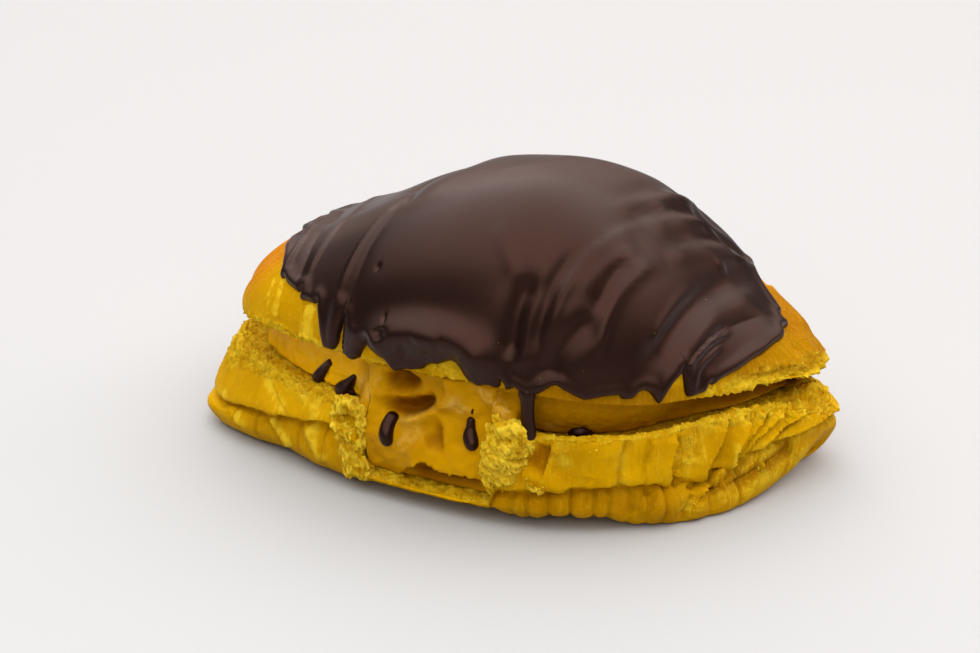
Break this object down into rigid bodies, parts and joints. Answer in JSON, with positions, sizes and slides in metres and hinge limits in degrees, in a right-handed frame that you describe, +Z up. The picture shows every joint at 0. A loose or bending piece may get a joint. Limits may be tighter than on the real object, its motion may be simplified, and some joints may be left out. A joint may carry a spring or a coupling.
{
  "type": "filled croissant with chocolate coating",
  "caption": "Croissant cut open along its middle, with smooth yellow cream inside, dark chocolate poured over its upper half and chocolate drops on the cream",
  "frame": {"origin": "on the floor, below the middle of the bounding box", "axes": "+X along the croissant's length, -Y towards the open front, +Z up"},
  "size_m": [0.1598, 0.0868, 0.0802],
  "materials": {
    "crust": "soft yellow croissant dough with torn, paler crumb and orange-brown baked places",
    "cream": "smooth, slightly shiny yellow-orange custard cream",
    "lid_crust": "yellow dough, baked orange-brown on its outside, with a torn crumb edge",
    "chocolate": "set dark chocolate, satin, with soft folds and rounded drips"
  },
  "bodies": {
    "root": {"lower_half": "crust", "cream_filling": "cream", "upper_half": "lid_crust", "chocolate_coating": "chocolate"}
  },
  "joints": []
}
